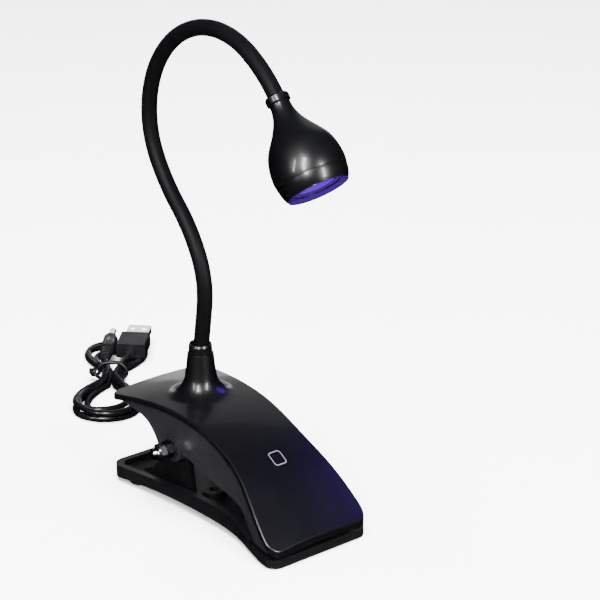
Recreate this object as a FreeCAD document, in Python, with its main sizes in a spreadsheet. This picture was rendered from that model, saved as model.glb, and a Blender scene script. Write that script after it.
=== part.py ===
"""UV curing lamp: a spring clip base, a bendable neck and a lamp head, with its loose power lead.

Millimetres. +Z is up, +X points from the handle end of the clip to its jaw tips, and the origin is on
the floor under the clip. Stations run along the clip from a datum 4 mm inside the handle end, and the
origin lies at station 56.
"""
import FreeCAD, Part
import math
import os

import Sketcher

Vector, Rotation, Placement = FreeCAD.Vector, FreeCAD.Rotation, FreeCAD.Placement

SIZES = [
    # clip: plan outline and side profile
    ("clip_rear", -4.0, "station of the handle end"),
    ("clip_front", 114.4, "station of the jaw tip"),
    ("origin_station", 56.0, "station of the origin"),
    ("rear_half_width", 27.6, "half the width at the handle end"),
    ("waist_half_width", 21.0, "half the width at the waist"),
    ("front_half_width", 27.3, "half the width at the jaw tip"),
    ("corner_radius", 5.5, "plan corners"),
    ("rear_height", 43.0, "top edge at the handle end"),
    ("peak_height", 46.3, "top edge at the neck"),
    ("front_height", 7.6, "top edge at the jaw tip"),
    ("shell_wall", 2.4, "top shell thickness"),
    ("crown", 1.4, "rise of the top across its width"),
    ("edge_round", 1.0, "rounded edge of the top shell"),
    ("fit_gap", 0.3, "clearance between moving mouldings"),
    # pivot
    ("pivot_station", 36.5, "pivot, along the clip"),
    ("pivot_height", 28.0, "pivot, above the floor"),
    ("bolt_radius", 2.0, "pivot bolt shank"),
    ("bolt_clearance", 0.06, "radial clearance of a turning bore"),
    ("lobe_radius", 6.4, "round boss of the wing at the pivot"),
    ("boss_face", 21.4, "outer face of the wing's pivot boss, from the middle"),
    ("wing_inset", 1.6, "wing set in from the shell edge"),
    ("wing_wall", 2.0, "wing thickness at the waist"),
    ("nose_end", 110.0, "front end of the upper frame, under the shell"),
    ("ear_outer", 17.0, "outer face of the lower jaw's ears"),
    ("ear_wall", 3.0, "ear thickness"),
    ("nut_across_flats", 7.0, "M4 nuts"),
    ("nut_height", 3.2, "M4 nuts"),
    ("washer_radius", 4.4, "M4 washers"),
    ("washer_height", 0.8, "M4 washers"),
    # lower jaw
    ("foot_height", 1.9, "underside of the lower jaw at its handle end"),
    ("rail_height", 6.3, "rim of the lower jaw"),
    ("rail_wall", 3.0, "rim thickness"),
    ("floor_level", 5.4, "inside floor of the lower jaw"),
    ("arch_rise", 1.7, "arch of the lower jaw between its ends"),
    ("tip_clearance", 0.4, "underside of the lower jaw at its tip"),
    ("jaw_tip_height", 4.4, "top of the lower jaw at its tip"),
    ("pad_height", 1.2, "rubber grip pads"),
    ("foot_top", 2.9, "top of the rubber feet in their recesses"),
    # touch switch, screws and power socket
    ("touch_radius", 3.6, "sensing spring of the touch switch"),
    ("touch_station", 80.0, "touch switch, along the clip"),
    ("screw_boss", 6.0, "screw bosses under the top shell"),
    ("jack_station", 60.0, "power socket, along the clip"),
    # stem and neck
    ("stem_station", 30.2, "neck, along the clip"),
    ("stem_radius", 5.9, "top of the moulded stem"),
    ("stem_top", 66.4, "top of the moulded stem"),
    ("stem_flare", 10.0, "concave flare where the stem meets the shell"),
    ("collar_radius", 5.3, "metal collar round the neck"),
    ("collar_height", 4.6, "metal collar round the neck"),
    ("neck_radius", 3.6, "outside of the flexible neck"),
    ("neck_piece", 23.8, "length of neck between two bends of the chain"),
    ("neck_gap", 0.3, "gap between two neck pieces"),
    # head
    ("head_length", 41.5, "lamp head along its axis"),
    ("head_radius", 15.7, "widest part of the lamp head"),
    ("head_wall", 1.6, "head shell thickness"),
    ("ring_station", 35.6, "joint between head shell and front ring"),
    ("mouth_radius", 13.3, "front edge of the lamp head"),
    ("lens_radius", 8.6, "clear lens"),
    # lead
    ("cord_diameter", 3.2, "power lead"),
]

doc = FreeCAD.newDocument("uv_curing_lamp")
sheet = doc.addObject("Spreadsheet::Sheet", "Sizes")
for row, (alias, value, note) in enumerate(SIZES, start=1):
    sheet.set(f"A{row}", alias)
    sheet.set(f"B{row}", str(value))
    sheet.set(f"C{row}", note)
    sheet.setAlias(f"B{row}", alias)
doc.recompute()
size = {alias: float(sheet.get(alias)) for alias, _, _ in SIZES}

REAR, FRONT = size["clip_rear"], size["clip_front"]
FOOT_SPOTS = {"rear_feet": (7.5, 18.5, 5.0), "front_feet": (102.5, 16.0, 5.0)}
SCREW_STATIONS = (48.0, 78.0)
SCREW_ACROSS = 11.5
PIECES = {}


def station(distance):
    """X of a station along the clip."""
    return distance - size["origin_station"]


PIVOT = Vector(station(size["pivot_station"]), 0, size["pivot_height"])
STEM_X = station(size["stem_station"])


def keep(name, feature):
    """Enter a finished feature or body as a piece of the lamp."""
    feature.Label = name
    PIECES[name] = feature
    return feature


# ---------------------------------------------------------------- sketch helpers
def new_body(name):
    return doc.addObject("PartDesign::Body", name)


def new_sketch(body, role, shift=(0, 0, 0)):
    """A sketch on one of the body's origin planes, shifted in the sketch's own axes."""
    sketch = body.newObject("Sketcher::SketchObject", body.Name + "_sketch")
    plane = [item for item in body.Origin.OriginFeatures if item.Role == role][0]
    sketch.AttachmentSupport = [(plane, "")]
    sketch.MapMode = "FlatFace"
    sketch.AttachmentOffset = Placement(Vector(*shift), Rotation())
    return sketch


def add_circle(sketch, radius, at=(0, 0)):
    """A circle whose radius follows an expression of the sheet."""
    centre = Vector(at[0], at[1], 0)
    index = sketch.addGeometry(Part.Circle(centre, Vector(0, 0, 1), 1.0), False)
    constraint = sketch.addConstraint(Sketcher.Constraint("Radius", index, 1.0))
    sketch.setExpression(f"Constraints[{constraint}]", radius)
    for kind, value in (("DistanceX", at[0]), ("DistanceY", at[1])):
        sketch.addConstraint(Sketcher.Constraint(kind, -1, 1, index, 3, value))


def add_polygon(sketch, corners):
    """A closed outline. A corner is a pair of numbers or of expressions of the sheet."""
    values = [[evaluate(part) for part in corner] for corner in corners]
    first = sketch.GeometryCount
    count = len(corners)
    for index in range(count):
        start, end = values[index], values[(index + 1) % count]
        sketch.addGeometry(Part.LineSegment(Vector(*start, 0), Vector(*end, 0)), False)
    for index in range(count):
        line, following = first + index, first + (index + 1) % count
        sketch.addConstraint(Sketcher.Constraint("Coincident", line, 2, following, 1))
    for index, corner in enumerate(corners):
        for kind, part, value in zip(("DistanceX", "DistanceY"), corner, values[index]):
            constraint = sketch.addConstraint(Sketcher.Constraint(kind, -1, 1, first + index, 1, value))
            if isinstance(part, str):
                sketch.setExpression(f"Constraints[{constraint}]", part)


def evaluate(part):
    """The value of a number or of an expression such as 'Sizes.neck_radius + 1'."""
    if not isinstance(part, str):
        return float(part)
    value = sheet.evalExpression(part.replace("Sizes.", ""))
    return float(getattr(value, "Value", value))


def add_edges(sketch, edges):
    for edge in edges:
        sketch.addGeometry(edge, False)


def pad(body, sketch, length, symmetric=False, reverse=False):
    feature = body.newObject("PartDesign::Pad", body.Name + "_pad")
    feature.Profile = sketch
    if isinstance(length, str):
        feature.setExpression("Length", length)
    else:
        feature.Length = length
    feature.SideType = "Symmetric" if symmetric else "One side"
    feature.Reversed = reverse
    return feature


def revolve(body, sketch, angle=360.0, axis="V_Axis", reverse=False):
    feature = body.newObject("PartDesign::Revolution", body.Name + "_revolution")
    feature.Profile = sketch
    feature.ReferenceAxis = (sketch, [axis])
    feature.Angle = angle
    feature.Reversed = reverse
    return feature


def block(name, role, edges, length, shift=(0, 0, 0), symmetric=False, reverse=False):
    """A body that is one outline of edges, padded."""
    body = new_body(name)
    sketch = new_sketch(body, role, shift)
    add_edges(sketch, edges)
    pad(body, sketch, length, symmetric, reverse)
    return body


def turned(name, corners, placement=Placement()):
    """A body turned from a polygon of (radius, height) about its own Z axis."""
    body = new_body(name)
    sketch = new_sketch(body, "XZ_Plane")
    add_polygon(sketch, corners)
    revolve(body, sketch)
    body.Placement = placement
    return body


def tube(name, outer, inner, bottom, top, placement=Placement()):
    return turned(name, [(inner, bottom), (outer, bottom), (outer, top), (inner, top)], placement)


def disc(name, radius, bottom, top, placement=Placement()):
    """A solid disc about its own Z axis."""
    return turned(name, [(0, bottom), (radius, bottom), (radius, top), (0, top)], placement)


def prism(name, corners, length, role="XY_Plane", shift=(0, 0, 0), placement=Placement(), symmetric=False):
    body = new_body(name)
    sketch = new_sketch(body, role, shift)
    add_polygon(sketch, corners)
    pad(body, sketch, length, symmetric)
    body.Placement = placement
    return body


def join(kind, name, first, others):
    """Cut, fuse or intersect features, one after another."""
    result = first
    for index, other in enumerate(others):
        feature = doc.addObject("Part::" + kind, f"{name}_{kind.lower()}_{index}")
        feature.Base = result
        feature.Tool = other
        result = feature
    return result


def cut(name, first, *others):
    return join("Cut", name, first, others)


def fuse(name, first, *others):
    return join("Fuse", name, first, others)


def common(name, first, *others):
    return join("Common", name, first, others)


def along_y(origin):
    """A placement whose own Z runs along -Y, out of the near side of the clip."""
    return Placement(origin, Rotation(Vector(1, 0, 0), 90))


# ---------------------------------------------------------------- outline and profile of the clip
def spline(points):
    curve = Part.BSplineCurve()
    curve.interpolate([Vector(*point, 0) for point in points])
    return curve


def side_points(inset):
    """Half the plan outline, from the handle end to the jaw tip, set in by a margin."""
    waist = size["waist_half_width"]
    shape = [
        (REAR, size["rear_half_width"]),
        (14, waist + 3.7),
        (34, waist + 1.55),
        (60, waist),
        (84, waist + 0.9),
        (100, waist + 4.6),
        (FRONT, size["front_half_width"]),
    ]
    return [(station(along), half - inset) for along, half in shape]


def plan_outline(inset):
    """Closed waisted outline with round corners, set in by a margin."""
    side = spline(side_points(inset))
    radius = size["corner_radius"] - inset * 0.5
    rear, front = station(REAR + inset), station(FRONT - inset)
    left_start = side.parameter(Vector(rear + radius, side_points(inset)[0][1], 0))
    left_end = side.parameter(Vector(front - radius, side_points(inset)[-1][1], 0))
    curve = side.copy()
    curve.segment(left_start, left_end)
    mirror = curve.copy()
    for number, pole in enumerate(curve.getPoles(), start=1):
        mirror.setPole(number, Vector(pole.x, -pole.y, 0))
    start, end = curve.StartPoint, curve.EndPoint
    bulge = radius * (1 - math.sqrt(0.5))
    edges = [curve, mirror]
    for sign in (1, -1):
        for x_end, corner in ((rear, start), (front, end)):
            middle_x = x_end + (bulge if x_end < 0 else -bulge)
            middle = Vector(middle_x, sign * (corner.y - bulge), 0)
            on_end = Vector(x_end, sign * (corner.y - radius), 0)
            on_side = Vector(corner.x, sign * corner.y, 0)
            edges.append(Part.Arc(on_side, middle, on_end))
    edges.append(Part.LineSegment(Vector(rear, start.y - radius, 0), Vector(rear, radius - start.y, 0)))
    edges.append(Part.LineSegment(Vector(front, end.y - radius, 0), Vector(front, radius - end.y, 0)))
    return edges


def top_points(drop, overrun=0.0):
    """Side profile of the top edge, moved inwards along its own normal by a margin."""
    peak, front = size["peak_height"], size["front_height"]
    shape = [
        (REAR - overrun, size["rear_height"] - 0.24 * overrun),
        (14, peak - 1.3),
        (32, peak),
        (52, peak - 1.5),
        (72, peak - 7.6),
        (90, peak - 17.2),
        (104, peak - 29.0),
        (FRONT, front),
        (FRONT + overrun, front - 1.05 * overrun),
    ]
    if not overrun:
        shape = shape[:-1]
    points = [(station(along), height) for along, height in shape]
    if not drop:
        return points
    curve = spline(points)
    moved = []
    for point in points:
        along = curve.tangent(curve.parameter(Vector(*point, 0)))[0]
        moved.append((point[0] + drop * along.y, point[1] - drop * along.x))
    return moved


def top_curve(drop, first, last):
    """Part of the offset side profile between two stations."""
    curve = spline(top_points(drop, 6.0))
    ends = []
    for along in (first, last):
        upright = Part.Line(Vector(station(along), 0, 0), Vector(station(along), 1, 0))
        ends.append(curve.parameter(curve.intersectCC(upright)[0].toShape().Point))
    curve.segment(*ends)
    return curve


def flat(point):
    """X and height of a sketch point."""
    return point.x, point.y


def top_height(along):
    """Height of the top edge at a station."""
    curve = spline(top_points(0))
    line = Part.Line(Vector(station(along), 0, 0), Vector(station(along), 1, 0))
    return curve.intersectCC(line)[0].Y


def lines(points):
    return [Part.LineSegment(Vector(*a, 0), Vector(*b, 0)) for a, b in zip(points, points[1:])]


# ---------------------------------------------------------------- upper jaw
def top_shell():
    """Glossy top: a crowned section swept along the side profile, trimmed to the waisted outline."""
    overrun, reach = 6.0, 32.0
    body = new_body("top_sweep")
    path = new_sketch(body, "XZ_Plane")
    add_edges(path, [spline(top_points(0, overrun))])
    start_x, start_z = top_points(0, overrun)[0]
    section = new_sketch(body, "YZ_Plane", (0, start_z, start_x))
    rise, wall = size["crown"], size["shell_wall"]
    corner = rise * (reach / size["rear_half_width"]) ** 2
    section.addGeometry(
        Part.Arc(Vector(-reach, rise - corner, 0), Vector(0, rise, 0), Vector(reach, rise - corner, 0)), False
    )
    section.addGeometry(
        Part.Arc(Vector(-reach, rise - corner - wall, 0), Vector(0, rise - wall, 0),
                 Vector(reach, rise - corner - wall, 0)), False
    )
    for side in (-reach, reach):
        section.addGeometry(
            Part.LineSegment(Vector(side, rise - corner - wall, 0), Vector(side, rise - corner, 0)), False
        )
    sweep = body.newObject("PartDesign::AdditivePipe", "top_pipe")
    sweep.Profile = section
    sweep.Spine = path
    outline = block("top_outline", "XY_Plane", plan_outline(0), 80.0)
    plate = common("top_plate", body, outline)
    stem_body = new_body("stem")
    stem_sketch = new_sketch(stem_body, "XZ_Plane")
    foot = size["peak_height"] - 1.0
    add_polygon(stem_sketch, [
        (0, foot), (8.6, foot), ("Sizes.stem_radius + 0.9", foot + 13.0),
        ("Sizes.stem_radius", "Sizes.stem_top"), (0, "Sizes.stem_top"),
    ])
    revolve(stem_body, stem_sketch)
    stem_body.Placement = Placement(Vector(STEM_X, 0, 0), Rotation())
    joined = fuse("top_joined", plate, stem_body)
    doc.recompute()
    flare = doc.addObject("Part::Fillet", "stem_flare")
    flare.Base = joined
    sweep_in = size["stem_flare"]
    flare.Edges = [(number, sweep_in, sweep_in) for number in stem_root_edges(joined.Shape)]
    doc.recompute()
    rounded = doc.addObject("Part::Fillet", "top_rounded")
    rounded.Base = flare
    rounded.Edges = [(number, size["edge_round"], size["edge_round"]) for number in rim_edges(flare.Shape)]
    bore = disc("stem_bore", "Sizes.neck_radius + 0.4", size["stem_top"] - 12.0, size["stem_top"] + 1.0,
                Placement(Vector(STEM_X, 0, 0), Rotation()))
    wire_hole = disc("stem_wire_hole", 2.2, 30.0, size["stem_top"],
                     Placement(Vector(STEM_X, 0, 0), Rotation()))
    bosses, pilots = [], []
    for index, (x, y, top) in enumerate(screw_spots()):
        spot = Placement(Vector(x, y, 0), Rotation())
        bottom = top - size["screw_boss"]
        bosses.append(disc(f"screw_boss_{index}", 2.6, bottom, top + 0.8, spot))
        pilots.append(disc(f"screw_pilot_{index}", 1.15, bottom - 1.0, top - 0.2, spot))
    bossed = fuse("top_bossed", rounded, *bosses)
    return keep("top_shell", cut("top_shell", bossed, bore, wire_hole, *pilots))


def stem_root_edges(shape):
    """Edges where the stem meets the top: all their points lie near the stem and near the top surface."""
    found = []
    for number, edge in enumerate(shape.Edges, start=1):
        points = edge.discretize(7)
        near = all(5.0 < math.hypot(p.x - STEM_X, p.y) < 12.0 for p in points)
        level = all(size["peak_height"] - 1.0 < p.z < size["peak_height"] + 4.0 for p in points)
        if near and level:
            found.append(number)
    return found


def rim_edges(shape):
    """Upper rim of the shell: edges on its largest upward face, away from the stem."""
    found = []
    for number, edge in enumerate(shape.Edges, start=1):
        points = edge.discretize(7)
        if any(math.hypot(p.x - STEM_X, p.y) < 15.0 for p in points):
            continue
        on_top = all(p.z > top_height_at(p.x) - size["shell_wall"] * 0.4 for p in points)
        if on_top:
            found.append(number)
    return found


def top_height_at(x):
    along = x + size["origin_station"]
    return top_height(max(min(along, FRONT - 0.01), REAR + 0.01))


def wing_lower_edge():
    """Side profile of the upper frame's underside, from the handle end to the jaw tip."""
    return [(5.0, 40.2), (13.5, 38.4), (19.5, 35.6), (23.5, 31.5), (26.5, 26.5)], \
        [(43.0, 26.4), (52.0, 24.4), (64.0, 20.8), (76.0, 18.6), (86.0, 15.6), (92.0, 11.0), (96.0, 6.9)]


def upper_frame():
    """Matte inner frame: two waisted side wings, a web under the top and the jaw's nose."""
    rear, front = wing_lower_edge()
    wall_top = size["shell_wall"] + 0.05
    nose_bottom = size["jaw_tip_height"] + 2 * size["pad_height"] - 0.6
    tip = size["nose_end"]
    under_rear = [(station(x), z) for x, z in rear]
    under_front = [(station(x), z) for x, z in front]
    lobe_bottom = (PIVOT.x, PIVOT.z - size["lobe_radius"])
    upper = top_curve(wall_top, rear[0][0], tip)
    first, last = flat(upper.StartPoint), flat(upper.EndPoint)
    profile = [
        upper,
        spline(under_rear),
        Part.Arc(Vector(*under_rear[-1], 0), Vector(*lobe_bottom, 0), Vector(*under_front[0], 0)),
        spline(under_front),
    ]
    profile += lines([first, under_rear[0]])
    profile += lines([under_front[-1], (under_front[-1][0], nose_bottom), (last[0], nose_bottom), last])
    solid = block("frame_side", "XZ_Plane", profile, 70.0, symmetric=True)
    outline = block("frame_outline", "XY_Plane", plan_outline(size["wing_inset"]), 80.0)
    pocket_end, cavity_end = 88.0, 90.0
    under_web = top_curve(wall_top + 9.2, 10.0, cavity_end)
    first, last = flat(under_web.StartPoint), flat(under_web.EndPoint)
    cavity_profile = [under_web] + lines([first, (first[0], 3.0), (last[0], 3.0), last])
    cavity = block("frame_cavity", "XZ_Plane", cavity_profile, 70.0, symmetric=True)
    inner = block("frame_inner", "XY_Plane", plan_outline(size["wing_inset"] + size["wing_wall"]), 80.0)
    web_top = top_curve(wall_top + 7.6, 8.0, pocket_end)
    open_top = top_curve(wall_top - 3.0, 8.0, pocket_end)
    pocket_profile = [web_top, open_top]
    pocket_profile += lines([flat(web_top.StartPoint), flat(open_top.StartPoint)])
    pocket_profile += lines([flat(web_top.EndPoint), flat(open_top.EndPoint)])
    pocket = block("frame_pocket", "XZ_Plane", pocket_profile, 70.0, symmetric=True)
    bore = disc("frame_bore", "Sizes.bolt_radius + Sizes.bolt_clearance", -40.0, 40.0, along_y(PIVOT))
    stem_well = disc("frame_stem_well", "Sizes.neck_radius + 3.2", 30.0, 60.0,
                     Placement(Vector(STEM_X, 0, 0), Rotation()))
    jack_hole = disc("frame_jack_hole", 2.9, -3.0, 6.0, jack_placement())
    hollowed = cut("frame_hollow", common("frame_trim", solid, outline),
                   common("frame_under", cavity, inner), common("frame_over", pocket, inner))
    inner_face, outer_face = size["ear_outer"] + size["fit_gap"], size["boss_face"]
    bosses = [disc(name, "Sizes.lobe_radius", low, low + outer_face - inner_face, along_y(PIVOT))
              for name, low in (("near_boss", inner_face), ("far_boss", -outer_face))]
    screw_holes = []
    for index, (x, y, top) in enumerate(screw_spots()):
        spot = Placement(Vector(x, y, 0), Rotation())
        screw_holes.append(disc(f"frame_screw_hole_{index}", 1.4, top - 16.0, top, spot))
        boss_end = top - size["screw_boss"]
        screw_holes.append(disc(f"frame_head_hole_{index}", 2.8, top - 18.0, boss_end - 3.4, spot))
        screw_holes.append(disc(f"frame_boss_hole_{index}", 2.8, boss_end - 0.2, top, spot))
    bossed = fuse("frame_bossed", hollowed, *bosses)
    return keep("upper_frame", cut("upper_frame", bossed, bore, stem_well, jack_hole, *screw_holes))


def jack_placement():
    """The power socket sits in the far wing; its own Z points out of the wing."""
    along = size["jack_station"]
    height = top_height(along) - size["shell_wall"] - 3.9
    mouth = Vector(station(along), size["waist_half_width"] - 1.95, height)
    return Placement(mouth, Rotation(Vector(1, 0, 0), -90))


def power_jack():
    place = jack_placement()
    body = prism("dc_socket_body", [(-4.0, -3.1), (4.0, -3.1), (4.0, 3.1), (-4.0, 3.1)], 9.5,
                 shift=(0, 0, -12.0), placement=place)
    sleeve = disc("dc_socket_sleeve", 2.8, -2.6, 0.3, place)
    mouth = disc("dc_socket_mouth", 1.8, -9.0, 1.4, place)
    keep("dc_socket", cut("dc_socket", fuse("dc_socket_join", body, sleeve), mouth))
    keep("dc_socket_pin", disc("dc_socket_pin", 0.65, -9.0, -0.8, place))


def screw_spots():
    """Screw places under the top, each with the height of the top's inner face there."""
    spots = []
    for along in SCREW_STATIONS:
        top = top_height(along) - size["shell_wall"] + 0.3
        spots += [(station(along), side * SCREW_ACROSS, top) for side in (-1, 1)]
    return spots


def frame_screws():
    """Four self-tapping screws that hold the upper frame to the top shell, as one group."""
    solids = []
    for x, y, top in screw_spots():
        under = top - size["screw_boss"] - 3.4
        head = Part.makeCylinder(2.5, 1.5, Vector(x, y, under - 1.5))
        shank = Part.makeCylinder(1.1, 9.0, Vector(x, y, under - 0.5))
        drive = Part.makeBox(3.2, 0.6, 0.7, Vector(x - 1.6, y - 0.3, under - 1.6))
        solids.append(head.fuse(shank).cut(drive).removeSplitter())
    feature = doc.addObject("Part::Feature", "frame_screws")
    feature.Shape = Part.makeCompound(solids)
    keep("frame_screws", feature)


def control_board():
    """Touch board under the top, tilted to the slope there, with its sensing spring above it."""
    along = size["touch_station"]
    slope = math.degrees(math.atan2(top_height(along - 8) - top_height(along + 8), 16))
    mid = Vector(station(along), 0, top_height(along) + size["crown"])
    tilt = Placement(mid, Rotation(Vector(0, 1, 0), slope))
    board = tilt.multiply(Placement(Vector(0, 0, -8.0), Rotation()))
    keep("control_board", prism("control_board", [(-11, -8.5), (11, -8.5), (11, 8.5), (-11, 8.5)], 1.2,
                                placement=board))
    pad_place = tilt.multiply(Placement(Vector(0, 0, -6.8), Rotation()))
    spring = doc.addObject("PartDesign::Body", "touch_spring")
    sketch = new_sketch(spring, "XY_Plane")
    add_circle(sketch, "Sizes.touch_radius")
    pad(spring, sketch, 3.6)
    spring.Placement = pad_place
    keep("touch_pad", spring)


# ---------------------------------------------------------------- lower jaw
def lower_jaw():
    """Arched waisted tray with a rim, two pivot ears with gussets, and a flat nose for the grip pad."""
    foot, rise = size["foot_height"], size["arch_rise"]
    rail, tip = size["rail_height"], size["jaw_tip_height"]
    bottom = [(station(REAR), foot), (station(50), foot + rise), (station(FRONT), size["tip_clearance"])]
    rim = [(station(REAR), foot + rail), (station(46), foot + rise + rail + 0.1),
           (station(84), foot + rail + 0.6), (station(100), tip + 1.0), (station(FRONT), tip)]
    profile = [Part.Arc(*(Vector(*point, 0) for point in bottom)), spline(rim)]
    profile += lines([bottom[0], rim[0]]) + lines([bottom[-1], rim[-1]])
    solid = block("lower_side", "XZ_Plane", profile, 70.0, symmetric=True)
    outline = block("lower_outline", "XY_Plane", plan_outline(0), 30.0)
    band = common("lower_band", solid, outline)
    tray = block("lower_tray", "XY_Plane", plan_outline(size["rail_wall"]), 30.0, (0, 0, size["floor_level"]))
    tray_limit = prism("lower_tray_limit", plate_corners(REAR - 20, 92, 40), 40.0)
    nose_level = prism("lower_nose_level", plate_corners(95, FRONT + 2, 40), 20.0, shift=(0, 0, tip))
    hollow = cut("lower_hollow", band, common("lower_tray_space", tray, tray_limit), nose_level)
    ears = []
    for side in (-1, 1):
        ears.append(pivot_ear(side))
        ears.append(ear_gusset(side))
    seat_place = Placement(Vector(station(49.0), -8.0, 0), Rotation())
    seat = tube("lower_spring_seat", 5.2, 2.2, 4.0, 8.4, seat_place)
    bore = disc("lower_bore", "Sizes.bolt_radius + Sizes.bolt_clearance", -40.0, 40.0, along_y(PIVOT))
    solid = fuse("lower_fused", hollow, *ears, seat)
    recesses = []
    for name, (along, across, radius) in FOOT_SPOTS.items():
        for side in (-1, 1):
            spot = Placement(Vector(station(along), side * across, 0), Rotation())
            recesses.append(disc(f"{name}_recess", radius + 0.05, -1.0, size["foot_top"] + 0.05, spot))
    return keep("lower_jaw", cut("lower_jaw", solid, bore, *recesses))


def plate_corners(first, last, half_width):
    """Corners of a rectangle between two stations, as wide as twice the half width."""
    return [(station(first), -half_width), (station(last), -half_width),
            (station(last), half_width), (station(first), half_width)]


def ear_profile():
    """Trapezoid that stands in the tray, drawn round the pivot at its top."""
    radius = size["lobe_radius"] - 0.9
    lean = math.radians(38)
    rear = (PIVOT.x - radius * math.cos(lean), PIVOT.z + radius * math.sin(lean))
    front = (PIVOT.x + radius * math.cos(lean), PIVOT.z + radius * math.sin(lean))
    base = size["floor_level"] - 1.0
    edges = [Part.Arc(Vector(*rear, 0), Vector(PIVOT.x, PIVOT.z + radius, 0), Vector(*front, 0))]
    edges += lines([front, (station(45.0), base), (station(12.0), base), rear])
    return edges


def pivot_ear(side):
    name = "ear_near" if side < 0 else "ear_far"
    outer, wall = size["ear_outer"], size["ear_wall"]
    middle = -side * (outer - wall / 2)
    return block(name, "XZ_Plane", ear_profile(), wall, (0, 0, middle - wall / 2))


def ear_gusset(side):
    """Rib from the ear's rear edge down to the tray's rear corner."""
    name = "gusset_near" if side < 0 else "gusset_far"
    base = size["floor_level"] - 1.0
    corners = [(station(5.0), base), (station(14.0), base), (station(22.0), base + 9.0)]
    middle = -side * (size["ear_outer"] - size["ear_wall"] / 2)
    return prism(name, corners, 1.6, "XZ_Plane", (0, 0, middle - 0.8))


def feet():
    """Round rubber feet: two under the handle end and two under the jaw tip."""
    for name, (along, across, radius) in FOOT_SPOTS.items():
        solids = []
        for side in (-1, 1):
            foot = Part.makeCylinder(radius, size["foot_top"], Vector(station(along), side * across, 0))
            rim = [edge for edge in foot.Edges if edge.Closed and edge.CenterOfMass.z < 0.1]
            solids.append(foot.makeFillet(0.4, rim))
        feature = doc.addObject("Part::Feature", name)
        feature.Shape = Part.makeCompound(solids)
        keep(name, feature)


def grip_pads():
    """Rubber pads on the two jaw tips, face to face when the clip is shut; the lower one is ribbed across."""
    tip, height = size["jaw_tip_height"], size["pad_height"]
    first, last, half_width = 97.5, 109.5, 20.0
    ribs, groove = 8, 0.35
    pitch = (last - first) / ribs
    top = tip + height
    teeth = [(station(first), tip), (station(last), tip)]
    for rib in range(ribs):
        end = station(last) - rib * pitch
        teeth += [(end, top - groove), (end - 0.3, top)]
        teeth += [(end - pitch + 0.6, top), (end - pitch + 0.3, top - groove)]
    teeth.append((station(first), top - groove))
    keep("lower_grip_pad", prism("lower_grip_pad", teeth, 2 * half_width, "XZ_Plane", symmetric=True))
    keep("upper_grip_pad", prism("upper_grip_pad", plate_corners(first, last, half_width), height - 0.65,
                                 shift=(0, 0, top + 0.05)))


# ---------------------------------------------------------------- pivot
def hexagon(across_flats):
    radius = across_flats / math.sqrt(3)
    turns = [math.radians(60 * corner) for corner in range(6)]
    return [(radius * math.cos(turn), radius * math.sin(turn)) for turn in turns]


def pivot_hardware():
    """Cross bolt with washers, lock nut and domed cap nut, and the bush that carries the spring."""
    near = along_y(PIVOT)
    face = size["boss_face"]
    washer, nut = size["washer_height"], size["nut_height"]
    flats = hexagon(size["nut_across_flats"])
    head = prism("bolt_head", flats, 2.8, shift=(0, 0, -face - washer - 2.85), placement=near)
    shank = disc("bolt_shank", "Sizes.bolt_radius", -face - washer - 0.2, face + washer + nut + 3.4, near)
    keep("pivot_bolt", fuse("pivot_bolt", head, shank))
    for name, level in (("near_washer", face + 0.05), ("far_washer", -face - washer - 0.05)):
        keep(name, tube(name, "Sizes.washer_radius", "Sizes.bolt_radius + 0.1", level, level + washer, near))
    level = face + washer + 0.1
    keep("lock_nut", nut_body("lock_nut", flats, level, nut, near))
    level += nut + 0.7
    base = nut_body("cap_nut_base", flats, level, nut, near)
    dome = new_body("cap_nut_dome")
    sketch = new_sketch(dome, "XZ_Plane")
    radius, top = 2.9, level + nut
    arc, crown = dome_arc(radius, top + 0.6)
    stem = [crown, (0, crown[1]), (0, top - 0.3), (radius, top - 0.3), (radius, top + 0.6)]
    add_edges(sketch, [arc] + lines(stem))
    revolve(dome, sketch)
    dome.Placement = near
    pocket = disc("cap_nut_pocket", "Sizes.bolt_radius + 0.05", level - 1, top - 0.2, near)
    keep("cap_nut", cut("cap_nut", fuse("cap_nut_join", base, dome), pocket))
    inner = size["ear_outer"] - size["ear_wall"] - 0.2
    keep("spring_bush", tube("spring_bush", 3.9, "Sizes.bolt_radius + 0.1", -inner, inner, near))


def dome_arc(radius, level):
    """Quarter round from the rim of a dome to the small flat at its crown, and where it ends."""
    flat_radius = radius * 0.1
    crown = (flat_radius, level + math.sqrt(radius ** 2 - flat_radius ** 2))
    middle = Vector(radius * math.sqrt(0.5), level + radius * math.sqrt(0.5), 0)
    return Part.Arc(Vector(radius, level, 0), middle, Vector(*crown, 0)), crown


def nut_body(name, flats, level, height, placement):
    """Hexagonal nut with both faces chamfered by a turned cone."""
    blank = prism(name + "_blank", flats, height, shift=(0, 0, level), placement=placement)
    corner = size["nut_across_flats"] / math.sqrt(3) + 0.05
    flat = size["nut_across_flats"] / 2
    barrel = turned(name + "_barrel", [(0, level), (flat, level), (corner, level + 0.4),
                                       (corner, level + height - 0.4), (flat, level + height),
                                       (0, level + height)], placement)
    hole = disc(name + "_hole", "Sizes.bolt_radius + 0.05", level - 1, level + height + 1, placement)
    return cut(name, common(name + "_shape", blank, barrel), hole)


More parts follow.
